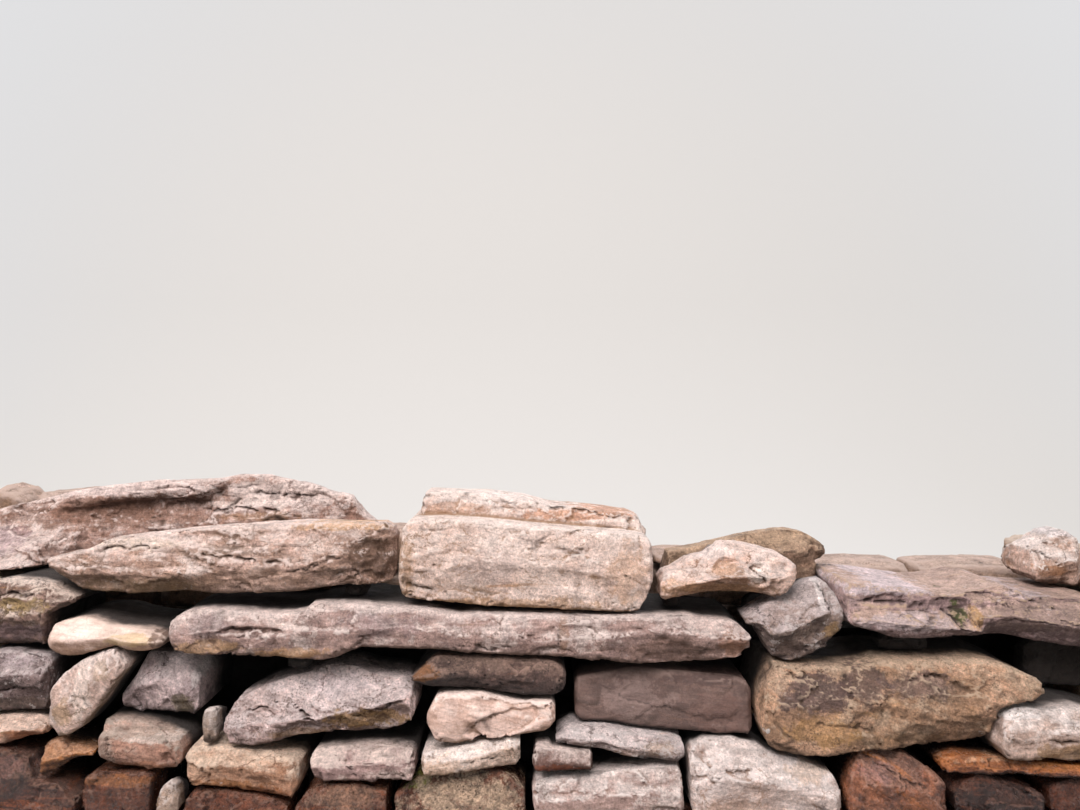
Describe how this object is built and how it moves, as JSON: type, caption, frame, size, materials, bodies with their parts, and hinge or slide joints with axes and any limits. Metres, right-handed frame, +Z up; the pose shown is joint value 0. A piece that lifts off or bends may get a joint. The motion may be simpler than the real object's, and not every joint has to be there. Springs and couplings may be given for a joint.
{
  "type": "dry stone wall",
  "caption": "Free-standing stretch of dry stone garden wall with irregular slabs and blocks, stained lower courses, one very long slab and a rugged cope of boulders.",
  "frame": {"origin": "centre of the wall's footprint, at ground level", "axes": "+X along the wall, to the right as the pictured face is seen; +Y through the wall, from that face to the back; +Z up"},
  "size_m": [2.24, 0.568, 0.7699],
  "materials": {
    "pink_stone": "rough",
    "pale_stone": "rough",
    "ochre_stone": "rough",
    "rusty_wet_stone": "wet",
    "grey_stone": "rough",
    "buried_stone": "rough",
    "packing_stone": "rough"
  },
  "bodies": {
    "root": {"footing_stones": "buried_stone", "water_course_stones": "rusty_wet_stone", "hearting": "packing_stone", "pinning_stones": "pale_stone", "edge_ledge_stone": "ochre_stone", "orange_wet_stone": "rusty_wet_stone", "flat_topped_stone": "pink_stone", "split_slab": "ochre_stone", "low_pink_slab": "pink_stone", "pale_wedge_stone": "pale_stone", "small_pink_stone": "pink_stone", "tilted_grey_slab": "grey_stone", "pale_bed_block": "pale_stone", "pale_corner_block": "pale_stone", "rusty_block": "rusty_wet_stone", "thin_rusty_slab": "rusty_wet_stone", "rusty_bed_slabs": "rusty_wet_stone", "left_ledge_block": "grey_stone", "leaning_pale_stone": "pale_stone", "grey_block": "grey_stone", "ridged_boulder": "pink_stone", "dark_flat_stone": "ochre_stone", "pink_block": "pink_stone", "smooth_deep_stone": "pink_stone", "ochre_block": "ochre_stone", "white_edge_stone": "pale_stone", "left_stub_stone": "grey_stone", "smooth_pale_stone": "pale_stone", "long_slab": "pink_stone", "grey_knob_stone": "grey_stone", "left_back_boulder": "pink_stone", "left_lens_slab": "pink_stone", "cap_block": "pale_stone", "low_ochre_stone": "ochre_stone", "angular_stone": "pink_stone", "right_slab": "ochre_stone", "right_top_block": "pale_stone", "left_end_stones": "grey_stone", "right_end_stones": "grey_stone", "back_face_stones": "grey_stone", "back_cope_stones": "grey_stone"}
  },
  "joints": []
}
